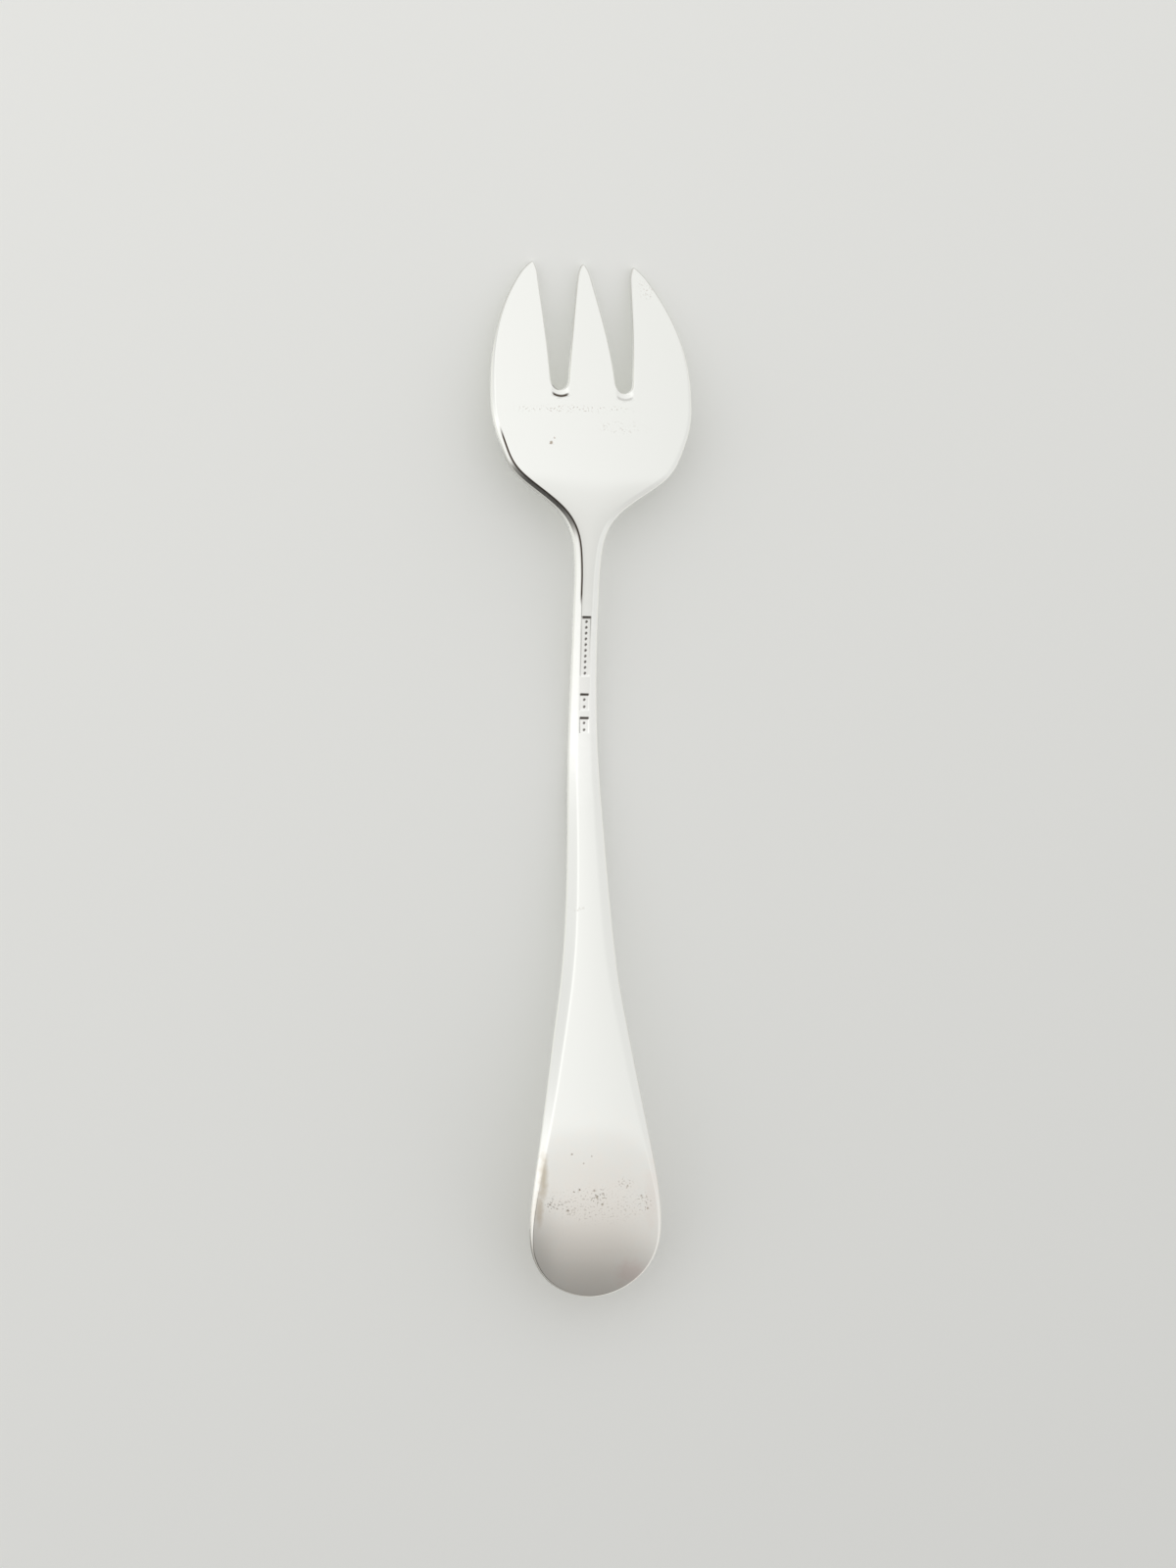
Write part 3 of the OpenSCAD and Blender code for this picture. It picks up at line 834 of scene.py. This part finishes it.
# The look of the metal. Places are in millimetres from the middle of the fork, and sizes too.
# A range gives the values at which something begins and is whole.
silver = {
    "color": (0.92, 0.925, 0.885, 1),
    # The colour of the painted shade, the painted dark reflections and the dirt
    "shadeAndDirtColor": (0.07, 0.05, 0.035, 1),
    "pitColor": (0.42, 0.35, 0.27, 1),
    "roughness": 0.09,
    "scratchRoughness": 0.12,
    "shadeAndDirtRoughness": 0.3,
    # Turn of each set of fine scratches, and how much of them shows
    "scratches": [(4, 0.5), (-38, 0.35), (63, 0.3)],
    "scratchStretch": (9.0, 0.16, 1.0),
    "scratchRange": (0.62, 0.74),
    "scratchDepth": 0.0004,
    "scratchedScale": 0.22,
    "scratchedRange": (0.4, 0.65),
    "scratchedLeast": 0.3,
    "waveSize": 6.0,
    "waveDepth": 0.01,
    "raggedScale": 4.5,
    # Pits: x, y, radius, and how dark each is
    "pits": [
        (-6.1, 46.8, 0.26, 0.9), (-5.6, 47.5, 0.14, 0.5), (-0.4, -57.6, 0.17, 0.6),
        (0.0, -58.5, 0.24, 0.7), (0.8, -59.6, 0.2, 0.65), (-0.9, -52.8, 0.14, 0.5),
        (-3.7, -52.5, 0.15, 0.7), (-2.0, -53.8, 0.14, 0.5), (-2.5, -57.5, 0.16, 0.9),
        (-3.3, -57.8, 0.13, 0.6), (-4.1, -60.4, 0.18, 0.7), (-6.6, -59.6, 0.16, 0.6),
        (4.4, -57.0, 0.14, 0.6), (6.4, -58.4, 0.17, 0.6), (7.4, -60.2, 0.2, 0.6),
    ],
    "pitRaggedness": 1.8,
    "pitRange": (2.2, 1.3),
    "pitDepth": 0.02,
    # Worn patches full of fine specks: x, y, half length and half width, and how much shows
    "worn": [
        (0.3, -58.6, 1.5, 1.7, 1.0), (4.0, -56.8, 1.7, 1.1, 0.8), (6.9, -59.3, 1.3, 1.7, 0.9),
        (-6.0, -59.5, 1.9, 1.2, 0.8), (0.5, -59.5, 9.0, 3.2, 0.35), (-3.2, 51.6, 9.8, 0.6, 0.8),
        (8.6, 68.9, 1.4, 1.7, 0.8), (-2.0, -18.3, 1.5, 0.5, 0.5), (4.0, 49.0, 4.5, 1.2, 0.35),
    ],
    "wornRaggedness": 0.6,
    "wornRange": (1.5, 0.7),
    "speckScale": 3.4,
    "speckRange": (0.56, 0.68),
    "speckShare": 0.6,
    # Faint stains, and a pale patch painted on the stem as a painted sheen: x, y, half length and half
    # width, colour and strength
    "stainsAndSheen": [
        (0.0, -64.0, 15.0, 18.0, (0.955, 0.918, 0.855, 1), 0.95),
        # A pale patch on the stem: a painted sheen that brightens it
        (0.0, 11.0, 4.0, 17.0, (0.975, 0.975, 0.94, 1), 0.9),
        (-7.6, -55.5, 0.8, 4.2, (0.5, 0.41, 0.27, 1), 0.6),
        (-8.1, -60.0, 0.8, 3.4, (0.55, 0.45, 0.32, 1), 0.5),
        (5.6, -69.2, 3.2, 2.4, (0.85, 0.72, 0.68, 1), 0.5),
        (8.0, -58.0, 1.4, 8.0, (0.88, 0.79, 0.73, 1), 0.3),
    ],
    "tintPatchScale": 0.8,
    "tintPatchRaggedness": 0.8,
    "tintPatchRange": (1.5, 0.5),
}


def makeSilver():
    material = bpy.data.materials.new("polishedSilver")
    material.use_nodes = True
    tree = material.node_tree
    place = tree.nodes.new("ShaderNodeTexCoord").outputs["Object"]
    inMm = addNode(tree, "ShaderNodeVectorMath", {0: place, "Scale": 1 / mm}, operation="SCALE").outputs[0]
    x, y = split(tree, inMm)[:2]
    flat = addNode(tree, "ShaderNodeCombineXYZ", {0: x, 1: y}).outputs[0]

    def noise(scale, detail, vector=inMm):
        node = addNode(tree, "ShaderNodeTexNoise", {"Vector": vector, "Scale": scale, "Detail": detail})
        return Value(node.outputs["Fac"])

    def within(value, ends):
        # 0 at the first end, 1 at the second, and smooth between them
        node = addNode(tree, "ShaderNodeMapRange", {
            "Value": value, "From Min": ends[0], "From Max": ends[1]}, interpolation_type="SMOOTHSTEP")
        return Value(node.outputs[0])

    def awayFrom(centreX, centreY, reachX, reachY):
        # Distance from a place, as a share of a patch's reach each way
        moved = addNode(tree, "ShaderNodeVectorMath", {0: flat, 1: (centreX, centreY, 0)},
                        operation="SUBTRACT").outputs[0]
        scaled = addNode(tree, "ShaderNodeVectorMath", {0: moved, 1: (1 / reachX, 1 / reachY, 0)},
                         operation="MULTIPLY").outputs[0]
        length = addNode(tree, "ShaderNodeVectorMath", {0: scaled}, operation="LENGTH")
        return Value(length.outputs["Value"])

    def blend(share, base, color):
        # Sockets 6 and 7 are the two colours of the mix node
        return addNode(tree, "ShaderNodeMix", {"Factor": share, 6: base, 7: color},
                       data_type="RGBA").outputs[2]

    # Fine polishing scratches: noise drawn out into long thin streaks, in several directions
    streaks = 0.0
    for turn, share in silver["scratches"]:
        drawn = addNode(tree, "ShaderNodeMapping", {
            "Vector": inMm, "Rotation": (0, 0, math.radians(turn)),
            "Scale": silver["scratchStretch"]}).outputs[0]
        streaks = streaks + within(noise(1.0, 2.0, drawn), silver["scratchRange"]) * share
    scratched = within(noise(silver["scratchedScale"], 2.0), silver["scratchedRange"])
    streaks = streaks * (scratched * (1 - silver["scratchedLeast"]) + silver["scratchedLeast"])

    # Pits, each a small dark spot with a ragged edge, and specks in the worn patches
    ragged = noise(silver["raggedScale"], 3.0)
    speck = within(noise(silver["speckScale"], 4.0), silver["speckRange"])
    worn = 0.0
    for patchX, patchY, reachX, reachY, dark in silver["worn"]:
        away = awayFrom(patchX, patchY, reachX, reachY) + ragged * silver["wornRaggedness"]
        worn = calc("MAXIMUM", worn, within(away, silver["wornRange"]) * dark)
    pitted = speck * worn * silver["speckShare"]
    for pitX, pitY, radius, dark in silver["pits"]:
        away = awayFrom(pitX, pitY, radius, radius) + ragged * silver["pitRaggedness"]
        pitted = pitted.atLeast(within(away, silver["pitRange"]) * dark)

    tint = silver["color"]
    blotched = noise(silver["tintPatchScale"], 3.0)
    # Faint stains, and the painted sheen on the stem
    for tintPatchX, tintPatchY, reachX, reachY, color, strength in silver["stainsAndSheen"]:
        away = awayFrom(tintPatchX, tintPatchY, reachX, reachY) + blotched * silver["tintPatchRaggedness"]
        tint = blend(within(away, silver["tintPatchRange"]) * strength, tint, color)
    # Painted shade, painted dark reflections and dirt, as carried by the blank's points
    shadeAndDirtAmount = Value(addNode(tree, "ShaderNodeAttribute", attribute_name="shadeAndDirt").outputs["Fac"])
    tint = blend(pitted, tint, silver["pitColor"])
    tint = blend(shadeAndDirtAmount, tint, silver["shadeAndDirtColor"])

    waves = noise(1 / silver["waveSize"], 1.0) * silver["waveDepth"]
    height = waves - (streaks * silver["scratchDepth"] + pitted * silver["pitDepth"])
    setInputs(tree.nodes["Principled BSDF"], {
        "Base Color": tint,
        "Metallic": 1.0,
        "Roughness": streaks * silver["scratchRoughness"] + silver["roughness"]
        + pitted.atLeast(shadeAndDirtAmount) * silver["shadeAndDirtRoughness"],
        "Normal": addNode(tree, "ShaderNodeBump", {
            "Height": height, "Distance": mm, "Strength": 1.0}).outputs[0]})
    return material


def makeFork():
    blank = makeBlank()
    tree = makeForgingTree(makeSilver())
    modifier = blank.modifiers.new("forge", "NODES")
    modifier.node_group = tree
    for item in tree.interface.items_tree:
        if item.in_out == "INPUT" and item.name in forging:
            modifier[item.identifier] = forging[item.name]
    shape = bpy.data.meshes.new_from_object(
        blank.evaluated_get(bpy.context.evaluated_depsgraph_get()))
    bpy.data.objects.remove(blank)
    for name in [item.name for item in shape.attributes if item.data_type == "FLOAT"]:
        if name != "shadeAndDirt":
            shape.attributes.remove(shape.attributes[name])

    # The bounding box is centred over the frame's, and both stand on the table
    places = np.empty(len(shape.vertices) * 3, np.float32)
    shape.vertices.foreach_get("co", places)
    low, high = places.reshape(-1, 3).min(0), places.reshape(-1, 3).max(0)
    middle = (low + high) / 2
    shape.transform(Matrix.Translation((
        (cadLow.x + cadHigh.x) / 2 - middle[0], (cadLow.y + cadHigh.y) / 2 - middle[1],
        cadLow.z - low[2])))
    piece = bpy.data.objects.new("forkBody", shape)
    bpy.context.scene.collection.objects.link(piece)
    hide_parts("oyster_fork")
    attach(piece, "root")
    print("fork forged:", len(shape.vertices), "points,", len(shape.polygons), "faces")


# The table and the light tent. Directions are shares of 1: x to the right, y beyond the tines.
studio = {
    "floorSide": 8.0,
    "floorColor": (0.902, 0.906, 0.877),
    # How much the floor's colour is painted brighter per metre to the right, and away from the viewer, as
    # painted light falloff
    "floorSlope": (-0.36, 0.69),
    "floorSlopeLimit": 0.12,
    "floorRoughness": 0.8,
    "floorSpecular": 0.2,
    # How much the floor glows where the silver mirrors it
    "floorGlow": 0.8,
    "overhead": 0.995,
    "leftReach": (-0.6, 0.5),
    "leftGain": 0.24,
    "rightFrom": 0.6,
    "rightGain": -0.12,
    "farLeftFrom": 1.0,
    "farLeftGain": -1.0,
    # How bright the tent is at places from its middle towards the door
    "door": [(0.0, 1.0), (0.1, 0.935), (0.25, 0.865), (0.36, 0.82), (0.45, 0.7), (0.55, 0.44),
             (0.65, 0.25), (0.8, 0.17), (0.95, 0.08)],
    # How far the door's edge is shifted at places across the tent
    "doorShift": [(-0.85, 0.5), (-0.62, 0.57), (-0.46, 0.72), (-0.3, 0.97), (-0.16, 0.85),
                  (-0.06, 0.62), (0.05, 0.58), (0.15, 0.5), (0.45, 0.435), (0.62, 0.12), (0.9, 0.05)],
    "doorShiftMiddle": 0.5,
    "doorTint": (1.02, 0.98, 0.94, 1),
    "openTint": (1, 1, 1, 1),
    "cornerFrom": 0.2,
    "cornerWidth": 0.14,
}


def makeFloor():
    half = studio["floorSide"] / 2
    mesh = bpy.data.meshes.new("floor")
    corners = [(-half, -half, 0), (half, -half, 0), (half, half, 0), (-half, half, 0)]
    mesh.from_pydata(corners, [], [(0, 1, 2, 3)])
    material = bpy.data.materials.new("paleTable")
    material.use_nodes = True
    tree = material.node_tree
    shader = tree.nodes["Principled BSDF"]
    x, y = split(tree, tree.nodes.new("ShaderNodeTexCoord").outputs["Object"])[:2]
    # The floor's colour grows brighter towards the far left: painted light falloff
    slope = x * studio["floorSlope"][0] + y * studio["floorSlope"][1]
    gain = slope.kept(-studio["floorSlopeLimit"], studio["floorSlopeLimit"]) + 1.0
    color = addNode(tree, "ShaderNodeVectorMath", {0: studio["floorColor"], "Scale": gain},
                    operation="SCALE").outputs[0]
    setInputs(shader, {"Base Color": color, "Roughness": studio["floorRoughness"],
                       "Specular IOR Level": studio["floorSpecular"]})
    glow = addNode(tree, "ShaderNodeEmission", {"Color": color, "Strength": 1.0})
    mirrorRay = Value(tree.nodes.new("ShaderNodeLightPath").outputs["Is Glossy Ray"])
    both = addNode(tree, "ShaderNodeMixShader", {
        0: mirrorRay * studio["floorGlow"], 1: shader.outputs[0], 2: glow.outputs[0]})
    setInputs(tree.nodes["Material Output"], {"Surface": both.outputs[0]})
    mesh.materials.append(material)
    floor = bpy.data.objects.new("floor", mesh)
    bpy.context.scene.collection.objects.link(floor)
    print("floor laid:", studio["floorSide"], "m each way")


def makeLight():
    # A soft tent, brighter on the left than on the right and dim at its far left beyond the
    # tines, with its dark door in front
    world = bpy.data.worlds.new("lightTent")
    world.use_nodes = True
    tree = world.node_tree
    x, y = split(tree, tree.nodes.new("ShaderNodeTexCoord").outputs["Generated"])[:2]
    leftward = x.kept(*studio["leftReach"]) * -studio["leftGain"]
    rightward = (x - studio["rightFrom"]).atLeast(0.0) * studio["rightGain"]
    farLeft = (y - x - studio["farLeftFrom"]).atLeast(0.0) * studio["farLeftGain"]
    tent = leftward + farLeft + rightward + studio["overhead"]

    def ramp(value, knots):
        node = addNode(tree, "ShaderNodeValToRGB", {"Fac": value})
        node.color_ramp.interpolation = "CARDINAL"
        stops = node.color_ramp.elements
        while len(stops) < len(knots):
            stops.new(1)
        for stop, (at, shade) in zip(stops, knots):
            stop.position = at
            stop.color = (shade, shade, shade, 1)
        return Value(addNode(tree, "ShaderNodeSeparateColor", {0: node.outputs["Color"]}).outputs[0])

    # The door's edge is not straight: a dark corner of it reaches in on the left
    shift = ramp(x * 0.5 + 0.5, [((at + 1) / 2, value) for at, value in studio["doorShift"]])
    shift = shift - studio["doorShiftMiddle"]
    low = ((y * -1.0 - studio["cornerFrom"]) / studio["cornerWidth"]).kept(0.0, 1.0)
    shift = shift.atMost(0.0) + shift.atLeast(0.0) * low
    door = ramp(shift - y, studio["door"])
    color = addNode(tree, "ShaderNodeMix", {
        "Factor": door, 6: studio["doorTint"], 7: studio["openTint"]}, data_type="RGBA").outputs[2]
    setInputs(tree.nodes["Background"], {"Color": color, "Strength": tent * door})
    bpy.context.scene.world = world
    print("tent lit:", len(studio["door"]), "shades towards its door")


# The camera's place, in metres and degrees, as the photograph was taken
view = {
    "distance": 1.0,
    "tilt": 10.4,
    "turn": -0.17,
    "frameHeight": 0.2211,
    "frameSize": (1200, 1600),
    "originPixel": (595.4, 793.5),
    "nearest": 0.05,
}


def makeCamera():
    tilt, turn = math.radians(view["tilt"]), math.radians(view["turn"])
    right = Vector((math.cos(tilt) * math.cos(turn), -math.cos(tilt) * math.sin(turn), math.sin(tilt)))
    back = Vector((-math.sin(tilt) * math.cos(turn), math.sin(tilt) * math.sin(turn), math.cos(tilt)))
    up = back.cross(right)
    pixel = view["frameHeight"] / view["frameSize"][1]
    rightward = (view["frameSize"][0] / 2 - view["originPixel"][0]) * pixel
    downward = (view["frameSize"][1] / 2 - view["originPixel"][1]) * pixel
    place = back * view["distance"] + right * rightward - up * downward
    data = bpy.data.cameras.new("camera")
    data.lens = data.sensor_width * view["distance"] / view["frameHeight"]
    data.clip_start = view["nearest"]
    camera = bpy.data.objects.new("camera", data)
    camera.matrix_world = Matrix.Translation(place) @ Matrix((right, up, back)).transposed().to_4x4()
    bpy.context.scene.collection.objects.link(camera)
    bpy.context.scene.camera = camera
    print("camera placed:", [round(v, 4) for v in place])


bpy.context.scene.view_settings.view_transform = "Standard"
makeCamera()
makeFork()
makeFloor()
makeLight()
